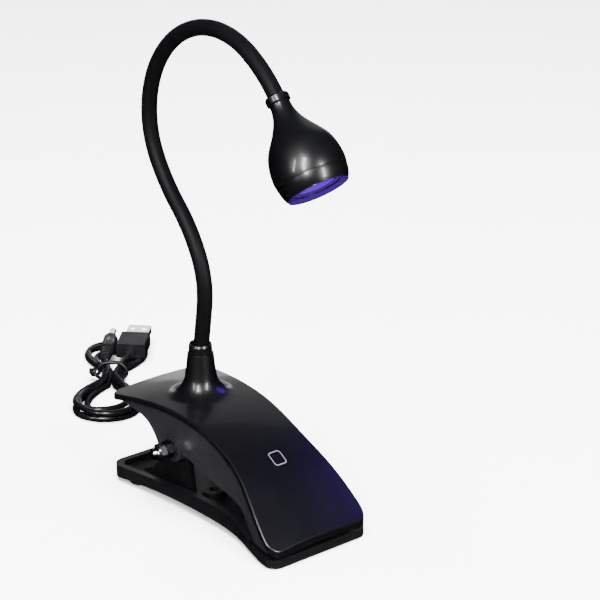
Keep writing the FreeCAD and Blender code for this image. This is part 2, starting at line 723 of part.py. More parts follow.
def torsion_spring():
    """Coil round the bush whose two arms push the handle ends apart."""
    wire, mean, turns, pitch = 0.9, 5.2, 6, 1.7
    near = along_y(PIVOT)
    arm_tip_low = Vector(station(13.0), 0, size["floor_level"] + wire + 0.05)
    arm_tip_high = Vector(station(18.0), 0, top_height(18.0) - 14.0)
    width = turns * pitch
    low = arm_solid(arm_tip_low, -width / 2, -1, mean, wire)
    high = arm_solid(arm_tip_high, width / 2, 1, mean, wire)
    rings = []
    for index in range(turns + 1):
        ring = Part.makeTorus(mean, wire)
        ring.Placement = near.multiply(Placement(Vector(0, 0, (index - turns / 2) * pitch), Rotation()))
        rings.append(ring)
    feature = doc.addObject("Part::Feature", "torsion_spring")
    solid = rings[0].multiFuse(rings[1:] + [low, high])
    feature.Shape = solid
    keep("torsion_spring", feature)


def arm_solid(tip, along, side, mean, wire):
    """Straight spring arm, tangent to the coil, from the coil to its tip behind the pivot."""
    to_tip = Vector(tip.x - PIVOT.x, 0, tip.z - PIVOT.z)
    distance = to_tip.Length
    spread = math.acos(mean / distance)
    bearing = math.atan2(to_tip.z, to_tip.x) + side * spread
    start = Vector(PIVOT.x + mean * math.cos(bearing), -along, PIVOT.z + mean * math.sin(bearing))
    end = Vector(tip.x, -along, tip.z)
    arm = Part.makeCylinder(wire - 0.03, (end - start).Length, start, end - start)
    return arm.fuse(Part.makeSphere(wire - 0.03, end)).fuse(Part.makeSphere(wire + 0.02, start))


# ---------------------------------------------------------------- neck
NECK_HEADING = 10.0
NECK_TURNS = [-2.5, -35.0, -19.5, 17.5, 35.0, 30.0, 27.0, 27.0, 30.0, 21.5]


def neck_chain():
    """Start placement of every neck piece, then of the head: the next piece starts where one ends."""
    place = Placement(Vector(STEM_X, 0, size["stem_top"]), Rotation(Vector(0, 1, 0), NECK_HEADING))
    chain = [place]
    for turn in NECK_TURNS:
        angle = math.radians(turn)
        radius = size["neck_piece"] / angle
        step = Vector(radius * (1 - math.cos(angle)), 0, radius * math.sin(angle))
        place = place.multiply(Placement(step, Rotation(Vector(0, 1, 0), turn)))
        chain.append(place)
    return chain


def neck():
    """Flexible neck as a chain of bent round pieces whose coned ends let each one tilt on the next."""
    gap = size["neck_gap"] / 2
    for number, (turn, place) in enumerate(zip(NECK_TURNS, neck_chain()), start=1):
        radius = size["neck_piece"] / math.radians(abs(turn))
        trim = math.degrees(gap / radius)
        body = new_body(f"neck_{number}")
        sketch = new_sketch(body, "XY_Plane")
        add_circle(sketch, "Sizes.neck_radius")
        sketch.addGeometry(Part.LineSegment(Vector(radius, -5, 0), Vector(radius, 5, 0)), True)
        bend = revolve(body, sketch, abs(turn) - 2 * trim, "Axis0")
        doc.recompute()
        if bend.Shape.CenterOfMass.z < 0:
            bend.Reversed = True
            doc.recompute()
        ends = [f"Edge{index}" for index, edge in enumerate(bend.Shape.Edges, start=1)
                if edge.Closed and edge.Curve.TypeId == "Part::GeomCircle"
                and abs(edge.Curve.Radius - size["neck_radius"]) < 0.01]
        cone = body.newObject("PartDesign::Chamfer", body.Name + "_cone")
        cone.Base = (bend, ends)
        cone.ChamferType = "Two distances"
        cone.Size, cone.Size2 = 0.5, size["neck_radius"] - 1.0
        flip = Rotation(Vector(0, 0, 1), 180) if turn < 0 else Rotation()
        turn_in = Placement(Vector(0, 0, 0), Rotation(Vector(0, 1, 0), trim if turn > 0 else -trim))
        body.Placement = place.multiply(Placement(Vector(0, 0, gap), Rotation())).multiply(
            turn_in).multiply(Placement(Vector(), flip))
        keep(f"neck_{number}", body)


def neck_fittings():
    """Turned collar on the stem and the plug of neck that sits in the stem."""
    seat = Placement(Vector(STEM_X, 0, size["stem_top"]), Rotation())
    body = turned("stem_collar", [
        ("Sizes.neck_radius + 0.3", 0.05),
        ("Sizes.collar_radius", 0.05),
        ("Sizes.collar_radius", "Sizes.collar_height - 1.0"),
        ("Sizes.collar_radius - 0.4", "Sizes.collar_height"),
        ("Sizes.neck_radius + 1.0", "Sizes.collar_height"),
    ], seat)
    keep("stem_collar", body)
    keep("neck_root", disc("neck_root", "Sizes.neck_radius", size["stem_top"] - 11.5, size["stem_top"] - 0.6,
                           Placement(Vector(STEM_X, 0, 0), Rotation())))


# ---------------------------------------------------------------- head
def lamp_head():
    """Bulb-shaped head: collar, turned shell, translucent front ring, lens, LED and heat sink."""
    place = neck_chain()[-1]
    wall = size["head_wall"]
    outside = [(4.45, 2.2), (4.9, 6.1), (6.8, 10.9), (10.3, 16.2), (13.6, 21.4), (15.2, 26.7),
               (size["head_radius"], 31.2), (15.25, size["ring_station"])]
    inside = [(15.25 - wall, size["ring_station"]), (size["head_radius"] - wall, 31.2), (15.2 - wall, 26.7),
              (13.6 - wall * 1.15, 21.9), (9.6 - wall, 17.2), (5.6 - wall, 13.0)]
    bore = size["neck_radius"] + 0.3
    shell = new_body("head_shell")
    sketch = new_sketch(shell, "XZ_Plane")
    add_edges(sketch, [spline(outside), spline(inside)])
    add_edges(sketch, lines([outside[-1], inside[0]]))
    add_edges(sketch, lines([inside[-1], (inside[-1][0], 9.0), (bore, 9.0), (bore, 2.2), outside[0]]))
    revolve(shell, sketch)
    shell.Placement = place
    keep("head_shell", shell)
    keep("head_collar", turned("head_collar", [
        (bore, -1.6), (4.6, -1.6), (5.2, -0.9), (5.2, 1.5), (4.6, 2.15), (bore, 2.15),
    ], place))
    ring = new_body("front_ring")
    ring_sketch = new_sketch(ring, "XZ_Plane")
    start, mouth, end = size["ring_station"] + 0.15, size["mouth_radius"], size["head_length"]
    rim_outer = [(15.2, start), (14.5, start + 3.2), (mouth, end)]
    add_edges(ring_sketch, [spline(rim_outer)])
    add_edges(ring_sketch, lines([rim_outer[-1], (mouth - 1.1, end), (mouth - 2.4, end - 1.6),
                                  (mouth - 2.4, start - 3.0), (15.2 - wall - 0.15, start - 3.0),
                                  (15.2 - wall - 0.15, start), rim_outer[0]]))
    revolve(ring, ring_sketch)
    ring.Placement = place
    keep("front_ring", ring)
    lens = size["lens_radius"]
    keep("lens_bezel", turned("lens_bezel", [
        (lens - 0.4, end - 3.9), (mouth - 2.5, end - 3.9), (mouth - 2.5, end - 2.0), (lens + 0.2, end - 3.0),
        (lens + 0.2, end - 3.4), (lens - 0.4, end - 3.4),
    ], place))
    keep("lens", turned("lens", [
        (0, end - 3.35), (lens, end - 3.35), (lens, end - 2.7), (lens * 0.6, end - 1.9), (0, end - 1.6),
    ], place))
    keep("reflector", turned("reflector", [
        (2.6, 29.4), (3.6, 29.4), (mouth - 2.6, end - 4.4), (mouth - 2.6, end - 4.0), (lens - 0.2, end - 4.0),
    ], place))
    keep("led_board", disc("led_board", 11.6, 27.6, 29.2, place))
    chip = prism("led_package", [(-1.75, -1.75), (1.75, -1.75), (1.75, 1.75), (-1.75, 1.75)], 0.8,
                 shift=(0, 0, 29.2), placement=place)
    dome = new_body("led_dome")
    dome_sketch = new_sketch(dome, "XZ_Plane")
    arc, crown = dome_arc(1.5, 30.0)
    add_edges(dome_sketch, [arc] + lines([crown, (0, crown[1]), (0, 29.9), (1.5, 29.9), (1.5, 30.0)]))
    revolve(dome, dome_sketch)
    dome.Placement = place
    keep("led_emitter", fuse("led_emitter", chip, dome))
    keep("heat_sink", turned("heat_sink", [
        (0, 21.0), (8.6, 21.0), (11.6, 24.6), (11.6, 27.55), (0, 27.55),
    ], place))


# ---------------------------------------------------------------- lead
HANK_CENTRE = Vector(-152.0, 38.0, 0)
HANK_TURN = 140.0
LOOP_TOP = 3.3
BUNDLE_TOP = 9.8
DC_END, USB_END = 12.0, 17.0
DC_ACROSS, USB_ACROSS = 5.0, -7.0
PLUG_LEVEL = 7.2


def hank_place(local=Placement()):
    """The lead's own frame, on the floor: X runs along the hank towards its plugs."""
    return Placement(HANK_CENTRE, Rotation(Vector(0, 0, 1), HANK_TURN)).multiply(local)


def flat_block(name, edges, height):
    body = block(name, "XY_Plane", edges, height)
    body.Placement = hank_place()
    return body


def coiled_lead():
    """Tied hank of the lead as one closed solid: two lobes flat on the floor and a thicker bundle between."""
    far = [(DC_END - 4, 6.2), (22, 13.0), (34, 17.6), (44, 14.0), (48.5, 4.0), (46, -8.0), (34, -14.5),
           (22, -11.5), (DC_END - 4, -6.2)]
    near = [(-14, 6.0), (-26, 12.5), (-38, 15.8), (-49, 12.0), (-54, 0), (-49, -13.0), (-38, -17.4),
            (-26, -13.0), (-14, -6.0)]
    upper = flat_block("hank_far", [spline(far)] + lines([far[-1], far[0]]), LOOP_TOP)
    lower = flat_block("hank_near", [spline(near)] + lines([near[-1], near[0]]), 2 * LOOP_TOP)
    bundle = prism("hank_bundle", [(-20, -6.6), (4, -6.6), (USB_END, -10.4), (USB_END, -3.0), (DC_END, -3.0),
                                   (DC_END, 8.6), (4, 6.4), (-20, 6.4)], BUNDLE_TOP, placement=hank_place())
    waist = BUNDLE_TOP - 0.9
    around = prism("tie_groove_out", [(-2.2, -14), (2.2, -14), (2.2, 14), (-2.2, 14)], 20.0,
                   shift=(0, 0, -1), placement=hank_place())
    core = prism("tie_groove_in", [(-6, 1.4), (6, 1.4), (6, waist), (-6, waist)], 10.0,
                 role="YZ_Plane", shift=(0, 0, -5), placement=hank_place())
    hank = fuse("hank_join", upper, lower, bundle)
    keep("cable_hank", cut("cable_hank", hank, cut("tie_groove", around, core)))


def cable_tie():
    """Twist tie round the bundle with its twisted end at one side."""
    top = BUNDLE_TOP - 0.8
    outer = prism("tie_outer", [(-7.4, 0.1), (7.4, 0.1), (7.4, top + 1.4), (-7.4, top + 1.4)], 3.2,
                  role="YZ_Plane", shift=(0, 0, -1.6), placement=hank_place())
    inner = prism("tie_inner", [(-6.1, 1.3), (6.1, 1.3), (6.1, top), (-6.1, top)], 5.0,
                  role="YZ_Plane", shift=(0, 0, -2.5), placement=hank_place())
    knot = disc("tie_knot", 1.9, -2.6, 2.8,
                hank_place(Placement(Vector(0.4, 8.8, 5.2), Rotation(Vector(1, 0, 0), 8))))
    keep("cable_tie", cut("cable_tie", fuse("tie_join", outer, knot), inner))


def plug_place(start, across, lean):
    """A plug's own Z runs from its cord end to its tip, level above the far loops."""
    turn = Rotation(Vector(0, 0, 1), lean).multiply(Rotation(Vector(0, 1, 0), 90))
    return hank_place(Placement(Vector(start, across, PLUG_LEVEL), turn))


def usb_plug():
    """USB-A plug: pressed shell, contact tongue, moulded grip and short strain relief."""
    place = plug_place(USB_END + 0.05, USB_ACROSS, -5.0)
    keep("usb_strain_relief", disc("usb_strain_relief", 2.6, 0, 4.95, place))
    keep("usb_grip", prism("usb_grip", slot_corners(7.6, 15.2), 17.4, shift=(0, 0, 5.0), placement=place))
    shell_start, wall = 22.45, 0.3
    outside = prism("usb_shell_outside", slot_corners(4.5, 12.0), 13.4,
                    shift=(0, 0, shell_start), placement=place)
    inside = prism("usb_shell_inside", slot_corners(4.5 - 2 * wall, 12.0 - 2 * wall), 14.0,
                   shift=(0, 0, shell_start + 0.4), placement=place)
    latches = []
    for across in (-3.0, 3.0):
        hole = [(-3, across - 1.1), (3, across - 1.1), (3, across + 1.1), (-3, across + 1.1)]
        latches.append(prism("usb_latch_hole", hole, 2.4, shift=(0, 0, 29.0), placement=place))
    keep("usb_shell", cut("usb_shell", outside, inside, *latches))
    keep("usb_tongue", prism("usb_tongue", [(-1.8, -5.2), (-0.05, -5.2), (-0.05, 5.2), (-1.8, 5.2)], 11.4,
                             shift=(0, 0, 22.9), placement=place))


def slot_corners(height, width):
    """Rectangle with small bevelled corners, as (up, across)."""
    bevel = 0.45
    h, w = height / 2, width / 2
    return [(-h + bevel, -w), (h - bevel, -w), (h, -w + bevel), (h, w - bevel),
            (h - bevel, w), (-h + bevel, w), (-h, w - bevel), (-h, -w + bevel)]


def dc_plug():
    """Round power plug: barrel, insulated core, ribbed grip and notched strain relief."""
    place = plug_place(DC_END + 0.05, DC_ACROSS, -1.5)
    relief = [(0, 0), (2.5, 0)]
    for step in range(4):
        base, radius = 0.9 + 2.3 * step, 2.8 + 0.17 * step
        relief += [(radius, base), (radius, base + 1.3), (2.3, base + 1.3), (2.3, base + 2.3)]
    relief += [(3.3, 10.1), (3.3, 10.6), (0, 10.6)]
    keep("dc_strain_relief", turned("dc_strain_relief", relief, place))
    grip = [(0, 10.65), (3.5, 10.65), (3.75, 11.2), (3.75, 15.8)]
    for step in range(3):
        base = 16.4 + 1.5 * step
        grip += [(3.75, base), (3.45, base + 0.2), (3.45, base + 0.7), (3.75, base + 0.9)]
    grip += [(3.75, 26.2), (3.4, 26.7), (0, 26.7)]
    keep("dc_grip", turned("dc_grip", grip, place))
    keep("dc_barrel", tube("dc_barrel", 1.75, 1.3, 26.75, 38.0, place))
    keep("dc_core", tube("dc_core", 1.25, 0.7, 26.75, 37.2, place))


# ---------------------------------------------------------------- build
def check(features):
    """Stop if any feature failed or any piece is empty or not valid."""
    for item in doc.Objects:
        if "Invalid" in item.State or "Error" in item.State:
            raise RuntimeError(f"{item.Name} failed: {item.State}")
    for name, feature in features.items():
        shape = feature.Shape
        if shape.isNull() or not shape.isValid() or not shape.Solids:
            raise RuntimeError(f"{name} has no valid solid")
        print(f"{name}: {len(shape.Solids)} solid, {shape.Volume:.1f} mm3")


def main():
    top_shell()
    upper_frame()
    power_jack()
    frame_screws()
    control_board()
    lower_jaw()
    feet()
    grip_pads()
    pivot_hardware()
    torsion_spring()
    neck()
    neck_fittings()
    lamp_head()
    coiled_lead()
    cable_tie()
    usb_plug()
    dc_plug()
    doc.recompute()
    check(PIECES)
    os.makedirs("parts", exist_ok=True)
    for name, feature in PIECES.items():
        feature.Shape.exportStep(f"parts/{name}.step")


main()
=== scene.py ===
"""Looks of a clip-on curing lamp with a touch switch, a flexible neck, a bulb head and a tied lead."""
import math

import bpy
from mathutils import Matrix, Vector


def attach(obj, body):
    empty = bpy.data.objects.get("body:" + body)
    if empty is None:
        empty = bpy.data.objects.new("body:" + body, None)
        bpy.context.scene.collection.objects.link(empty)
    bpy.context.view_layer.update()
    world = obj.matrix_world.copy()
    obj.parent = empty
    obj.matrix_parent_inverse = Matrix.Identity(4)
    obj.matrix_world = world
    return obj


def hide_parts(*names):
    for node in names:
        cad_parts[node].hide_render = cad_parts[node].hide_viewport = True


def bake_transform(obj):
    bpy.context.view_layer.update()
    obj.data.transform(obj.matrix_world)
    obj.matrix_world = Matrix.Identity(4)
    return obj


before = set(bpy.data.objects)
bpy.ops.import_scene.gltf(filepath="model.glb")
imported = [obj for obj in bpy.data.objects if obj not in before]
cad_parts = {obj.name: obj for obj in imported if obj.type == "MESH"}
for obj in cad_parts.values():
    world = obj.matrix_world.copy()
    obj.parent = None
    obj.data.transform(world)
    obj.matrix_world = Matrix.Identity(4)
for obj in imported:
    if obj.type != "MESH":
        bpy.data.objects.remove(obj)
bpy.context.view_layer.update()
MM = 0.001


# ---------------------------------------------------------------- camera
CAMERA_AIM = Vector((43.98, 0.0, 112.34)) * MM
CAMERA_DISTANCE = 900 * MM
CAMERA_AZIMUTH = math.radians(50.5)
CAMERA_ELEVATION = math.radians(21.25)
CAMERA_LENS = 130.1
CAMERA_REACH = 20.0      # metres


def side_of(azimuth, elevation):
    """Unit vector from the lamp towards a place round it."""
    level = math.cos(elevation)
    return Vector((math.sin(azimuth) * level, -math.cos(azimuth) * level, math.sin(elevation)))


def aim(item, target):
    """Turns a camera or a light so that it looks at the target."""
    item.rotation_euler = (target - item.location).to_track_quat("-Z", "Y").to_euler()


def photographer():
    view_from = side_of(CAMERA_AZIMUTH, CAMERA_ELEVATION)
    bpy.ops.object.camera_add(location=CAMERA_AIM + view_from * CAMERA_DISTANCE)
    camera = bpy.context.object
    camera.name = "camera"
    camera.data.lens = CAMERA_LENS
    camera.data.clip_end = CAMERA_REACH
    aim(camera, CAMERA_AIM)
    bpy.context.scene.camera = camera


# ---------------------------------------------------------------- working helpers
MERGE_DISTANCE = 0.001 * MM
SMOOTH_BELOW = 40        # degrees between faces


def clear_selection():
    if bpy.context.object and bpy.context.object.mode != "OBJECT":
        bpy.ops.object.mode_set(mode="OBJECT")
    bpy.ops.object.select_all(action="DESELECT")


def only(piece):
    """Makes one object the selected and active one."""
    clear_selection()
    piece.select_set(True)
    bpy.context.view_layer.objects.active = piece
    return piece


def settle(piece, name, smooth=SMOOTH_BELOW):
    """Names a piece, puts its place into its mesh, turns its faces outwards and smooths its round sides."""
    only(piece)
    piece.name = name
    piece.data.name = name
    bpy.ops.object.transform_apply(location=True, rotation=True, scale=True)
    bpy.ops.object.mode_set(mode="EDIT")
    bpy.ops.mesh.select_all(action="SELECT")
    bpy.ops.mesh.remove_doubles(threshold=MERGE_DISTANCE)
    bpy.ops.mesh.normals_make_consistent(inside=False)
    bpy.ops.object.mode_set(mode="OBJECT")
    bpy.ops.object.shade_smooth_by_angle(angle=math.radians(smooth))
    return piece


def copy_of(node, name):
    """A copy of a CAD node's mesh, free to be changed."""
    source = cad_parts[node]
    piece = bpy.data.objects.new(name, source.data.copy())
    bpy.context.scene.collection.objects.link(piece)
    return piece


# ---------------------------------------------------------------- finishes
def colour(code, alpha=1.0):
    """A hex colour as linear light."""
    channels = [int(code[i:i + 2], 16) / 255 for i in (1, 3, 5)]
    linear = [c / 12.92 if c <= 0.04045 else ((c + 0.055) / 1.055) ** 2.4 for c in channels]
    return (*linear, alpha)


def node(material, kind, inputs, **settings):
    """Adds one shader node: settings go on the node, inputs are numbers, colours or another node's socket."""
    tree = material.node_tree
    made = tree.nodes.new("ShaderNode" + kind)
    for name, value in settings.items():
        setattr(made, name, value)
    for name, value in inputs.items():
        if isinstance(value, bpy.types.NodeSocket):
            tree.links.new(value, made.inputs[name])
        else:
            made.inputs[name].default_value = value
    return made


def finish(name, **sockets):
    """A new material with one principled shader, whose sockets are set directly."""
    material = bpy.data.materials.new(name)
    material.use_nodes = True
    material.node_tree.nodes.clear()
    shader = node(material, "BsdfPrincipled", sockets)
    node(material, "OutputMaterial", {"Surface": shader.outputs["BSDF"]})
    return material, shader


def link(material, source, target):
    material.node_tree.links.new(source, target)


def object_place(material):
    return node(material, "TexCoord", {}).outputs["Object"]


def blotches(material, size, detail=2.0, roughness=0.5):
    """Soft noise whose patches are about the given size, in metres."""
    return node(material, "TexNoise", {"Vector": object_place(material), "Scale": 1 / size,
                                       "Detail": detail, "Roughness": roughness}).outputs["Fac"]


NOISE_RANGE = (0.3, 0.7)     # noise seldom leaves this range


def spread(material, value, low, high):
    """Maps the range that noise really uses onto the range from low to high."""
    return node(material, "MapRange", {"Value": value, "From Min": NOISE_RANGE[0], "From Max": NOISE_RANGE[1],
                                       "To Min": low, "To Max": high}).outputs["Result"]


def mottle(material, value, first, second):
    """Mixes two colours by a pattern."""
    mix = node(material, "Mix", {"Factor": value}, data_type="RGBA")
    mix.inputs["A"].default_value = colour(first)
    mix.inputs["B"].default_value = colour(second)
    return mix.outputs["Result"]


def relief(material, value, depth, strength=1.0):
    """A bump of the given depth in metres from a 0 to 1 pattern."""
    return node(material, "Bump", {"Height": value, "Distance": depth,
                                   "Strength": strength}).outputs["Normal"]


def polished_abs(name):
    """ABS from a polished mould: deep black, a sharp highlight in the skin and a soft glow round it."""
    material, shader = finish(name, **{"Base Color": colour("#030304"), "IOR": 1.53,
                                       "Specular IOR Level": 0.42, "Coat Weight": 0.25,
                                       "Coat Roughness": 0.06})
    link(material, spread(material, blotches(material, 22 * MM, 3), 0.30, 0.36), shader.inputs["Roughness"])
    link(material, relief(material, blotches(material, 30 * MM), 0.03 * MM, 0.2), shader.inputs["Normal"])
    return material


def textured_abs(name, dark, light, rough):
    """ABS from a spark-eroded mould: a fine even grain that spreads the light into a satin sheen."""
    material, shader = finish(name, **{"IOR": 1.53, "Specular IOR Level": 0.4})
    grain = blotches(material, 0.35 * MM, 4, 0.6)
    link(material, mottle(material, blotches(material, 9 * MM, 3), dark, light), shader.inputs["Base Color"])
    link(material, spread(material, grain, rough - 0.05, rough + 0.06), shader.inputs["Roughness"])
    link(material, relief(material, grain, 0.012 * MM, 0.5), shader.inputs["Normal"])
    return material


def moulded_rubber(name, dark, light, rough, grit):
    """Synthetic rubber from a blasted mould: nearly no highlight, a dusty bloom and a fine grit."""
    material, shader = finish(name, **{"IOR": 1.5, "Specular IOR Level": 0.11, "Sheen Weight": 0.01,
                                       "Sheen Roughness": 0.5, "Sheen Tint": colour("#8A86A0")})
    bits = blotches(material, grit, 3, 0.65)
    link(material, mottle(material, blotches(material, 6 * MM, 4), dark, light), shader.inputs["Base Color"])
    link(material, spread(material, bits, rough - 0.06, rough + 0.08), shader.inputs["Roughness"])
    link(material, relief(material, bits, 0.03 * MM, 0.6), shader.inputs["Normal"])
    return material


def plated(name, tone, low, high, streak):
    """Plated or bare metal: mirror bright, with fine turning or drawing marks that soften the reflection."""
    material, shader = finish(name, **{"Base Color": colour(tone), "Metallic": 1.0})
    marks = blotches(material, streak, 5, 0.7)
    link(material, spread(material, marks, low, high), shader.inputs["Roughness"])
    link(material, relief(material, marks, 0.0006 * MM, 0.2), shader.inputs["Normal"])
    return material


def soft_vinyl(name, tone, light, rough):
    """Extruded or moulded PVC: plasticised and slightly waxy, with a long soft highlight."""
    material, shader = finish(name, **{"IOR": 1.54, "Specular IOR Level": 0.4, "Coat Weight": 0.1,
                                       "Coat Roughness": 0.2})
    link(material, mottle(material, blotches(material, 12 * MM, 2), tone, light), shader.inputs["Base Color"])
    link(material, spread(material, blotches(material, 6 * MM, 2), rough - 0.03, rough + 0.04),
         shader.inputs["Roughness"])
    link(material, relief(material, blotches(material, 2.5 * MM), 0.004 * MM, 0.3), shader.inputs["Normal"])
    return material


def glowing_acrylic(name, body, tone, light, strength, rough):
    """Tinted acrylic lit from behind by the LED: it glows by itself and still keeps its polished skin."""
    material, shader = finish(name, **{"Base Color": colour(body), "IOR": 1.49, "Roughness": rough,
                                       "Emission Strength": strength, "Coat Weight": 0.2,
                                       "Coat Roughness": 0.08})
    cloud = blotches(material, 7 * MM, 2)
    link(material, mottle(material, cloud, tone, light), shader.inputs["Emission Color"])
    return material


def circuit_laminate():
    """Glass-epoxy board under black solder mask, seen only through gaps."""
    material, shader = finish("black_solder_mask_laminate", **{"IOR": 1.5})
    weave = blotches(material, 1.0 * MM, 2)
    link(material, mottle(material, weave, "#0C1512", "#16211C"), shader.inputs["Base Color"])
    link(material, spread(material, weave, 0.3, 0.42), shader.inputs["Roughness"])
    return material


def screen_print():
    """Pale grey screen-printed ink, slightly uneven at its edges."""
    material, shader = finish("pale_grey_screen_ink", **{"IOR": 1.5})
    grit = blotches(material, 0.5 * MM, 3)
    link(material, mottle(material, grit, "#4C4954", "#5A5762"), shader.inputs["Base Color"])
    link(material, spread(material, grit, 0.35, 0.5), shader.inputs["Roughness"])
    return material


def studio_floor():
    """Matt white sweep paper."""
    material, shader = finish("white_sweep_paper", **{"IOR": 1.4, "Specular IOR Level": 0.15})
    fibre = blotches(material, 60 * MM, 2)
    link(material, mottle(material, fibre, "#F4F4F5", "#F8F8F9"), shader.inputs["Base Color"])
    link(material, spread(material, fibre, 0.9, 0.95), shader.inputs["Roughness"])
    return material


polished = polished_abs("black_polished_abs")
wing_finish = textured_abs("dark_grey_textured_abs", "#0F0F12", "#151418", 0.4)
jaw_finish = textured_abs("black_textured_abs", "#040405", "#08080A", 0.38)
neck_rubber = moulded_rubber("black_matt_silicone_sleeve", "#010102", "#040405", 0.5, 0.5 * MM)
grip_rubber = moulded_rubber("black_moulded_rubber", "#0F0F11", "#1A1A1D", 0.78, 0.7 * MM)
nickel = plated("bright_nickel_plate", "#D9D9DC", 0.10, 0.22, 0.9 * MM)
blackened = plated("blackened_steel", "#3A3A3E", 0.28, 0.42, 0.8 * MM)
spring_wire = plated("drawn_spring_steel", "#8E8F94", 0.25, 0.4, 0.5 * MM)
stamped = plated("nickel_plated_stamped_steel", "#E9EAEC", 0.14, 0.24, 1.4 * MM)
machined = plated("machined_aluminium", "#C4C5C8", 0.25, 0.4, 0.4 * MM)
contact_brass = plated("tin_plated_brass", "#CFC7B4", 0.15, 0.3, 0.6 * MM)
cord_vinyl = soft_vinyl("black_extruded_pvc", "#030304", "#060607", 0.28)
plug_vinyl = soft_vinyl("black_moulded_pvc", "#040405", "#070709", 0.42)
tongue_plastic = textured_abs("white_moulded_nylon", "#DCDCD8", "#E8E8E4", 0.45)
laminate = circuit_laminate()
ink = screen_print()
washer_nylon = textured_abs("black_moulded_nylon", "#08080A", "#0F0F12", 0.35)
lens_glow = glowing_acrylic("violet_lit_lens_acrylic", "#180048", "#8000FF", "#9408FF", 0.6, 0.12)
bezel_glow = glowing_acrylic("violet_lit_bezel_acrylic", "#140838", "#6C00B8", "#7C10C8", 0.12, 0.16)
emitter_glow = glowing_acrylic("violet_led_silicone", "#2A1060", "#7A3CFF", "#A97CFF", 6.0, 0.2)

NODE_FINISH = {
    "top_shell": polished, "stem_collar": polished, "head_shell": polished, "head_collar": polished,
    "front_ring": polished, "upper_frame": wing_finish, "lower_jaw": jaw_finish, "neck_root": neck_rubber,
    "rear_feet": grip_rubber, "front_feet": grip_rubber, "lower_grip_pad": grip_rubber,
    "upper_grip_pad": grip_rubber, "pivot_bolt": nickel, "near_washer": washer_nylon,
    "far_washer": washer_nylon, "lock_nut": blackened, "cap_nut": nickel, "spring_bush": tongue_plastic,
    "frame_screws": blackened,
    "torsion_spring": spring_wire, "dc_socket": plug_vinyl, "dc_socket_pin": contact_brass,
    "control_board": laminate, "led_board": laminate, "touch_pad": contact_brass, "heat_sink": machined,
    "reflector": stamped, "lens_bezel": bezel_glow, "lens": lens_glow, "led_emitter": emitter_glow,
    "usb_shell": stamped, "usb_tongue": tongue_plastic, "usb_grip": plug_vinyl,
    "usb_strain_relief": plug_vinyl, "dc_strain_relief": plug_vinyl, "dc_grip": plug_vinyl,
    "dc_barrel": stamped, "dc_core": plug_vinyl, "cable_tie": plug_vinyl, "cable_hank": cord_vinyl,
}


def dress(piece, material):
    piece.data.materials.clear()
    piece.data.materials.append(material)


def dress_cad():
    for name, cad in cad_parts.items():
        material = NODE_FINISH.get(name, neck_rubber)
        for slot in cad.material_slots:
            slot.material = material


# ---------------------------------------------------------------- lead
CORD_DIAMETER = 3.2 * MM
HANK_CENTRE = Vector((-152.0, 38.0, 0.0)) * MM
HANK_TURN = Matrix.Rotation(math.radians(140), 4, "Z")
TIE_REACH = 9.0          # the straight passes under the tie end this far from its middle
LOOP_POINTS = 14
LOOP_PEAK = 0.77         # largest value of the drop shape's two sines
LOOP_DROP = 3.5          # how soon a loop comes down from the tie onto its level
# passes through the tie as (across, up): the lead comes in on top, packs in rows and leaves on top
PASSES_OUT = [(1.6, 7.2), (1.6, 1.65), (4.6, 1.65), (3.2, 4.45)]
PASSES_BACK = [(-4.6, 1.65), (-1.6, 1.65), (-3.2, 4.45), (-1.6, 7.2)]
# loops as reach along the hank, half width, sideways lean and height of the loop over the floor
NEAR_LOOPS = [(51.0, 15.0, 0.5, 1.65), (45.0, 11.0, -2.4, 1.65),
              (52.0, 13.0, -2.0, 4.85), (47.5, 12.6, 2.4, 4.85)]
FAR_LOOPS = [(46.5, 14.2, 2.6, 1.65), (42.0, 11.4, 4.4, 1.65), (35.0, 9.5, 0.6, 1.65)]
DC_START = [(12.05, 5.0, 7.2), (5.0, 3.4, 7.2)]
USB_FINISH = [(8.0, -4.6, 7.2), (17.05, -7.0, 7.2)]


def hank_point(along, across, up):
    """A point of the hank's own frame, in millimetres, put where the hank lies."""
    return HANK_CENTRE + HANK_TURN @ (Vector((along, across, up)) * MM)


def loop(side, enter, leave, reach, half_width, lean, level):
    """One loop of the lead from the tie out to its reach and back, as a drop shape flat on the floor."""
    points = []
    for step in range(LOOP_POINTS):
        turn = math.tau * step / (LOOP_POINTS - 1)
        out = (1 - math.cos(turn)) / 2
        share = step / (LOOP_POINTS - 1)
        along = side * (TIE_REACH + (reach - TIE_REACH) * out)
        bulge = half_width / LOOP_PEAK * math.sin(turn) * math.sin(turn / 2)
        if side > 0:
            bulge = -bulge
        across = enter[0] * (1 - share) ** 2 + leave[0] * share ** 2 + bulge + lean * out
        settle_down = min(1, LOOP_DROP * out)
        height = (enter[1] if share < 0.5 else leave[1]) * (1 - settle_down) + level * settle_down
        points.append((along, across, height))
    return points


def lead_route():
    """The whole lead from the round plug to the flat one, with its coil turns worked out loop by loop."""
    route = list(DC_START)
    for index, (out, back, near) in enumerate(zip(PASSES_OUT, PASSES_BACK, NEAR_LOOPS)):
        route += loop(-1, out, back, *near)
        if index < len(FAR_LOOPS):
            route += loop(1, back, PASSES_OUT[index + 1], *FAR_LOOPS[index])
    return [hank_point(*point) for point in route + USB_FINISH]


def nurbs(name, points, radius, material, sides=6, smooth=6):
    """A round cord along one open NURBS spline whose control points are given."""
    curve = bpy.data.curves.new(name, "CURVE")
    curve.dimensions = "3D"
    curve.bevel_depth = radius
    curve.bevel_resolution = sides
    curve.resolution_u = smooth
    curve.use_fill_caps = True
    spline = curve.splines.new("NURBS")
    spline.points.add(len(points) - 1)
    for place, point in zip(spline.points, points):
        place.co = (*point, 1.0)
    spline.order_u = 3
    spline.use_endpoint_u = True
    piece = bpy.data.objects.new(name, curve)
    bpy.context.scene.collection.objects.link(piece)
    curve.materials.append(material)
    return piece


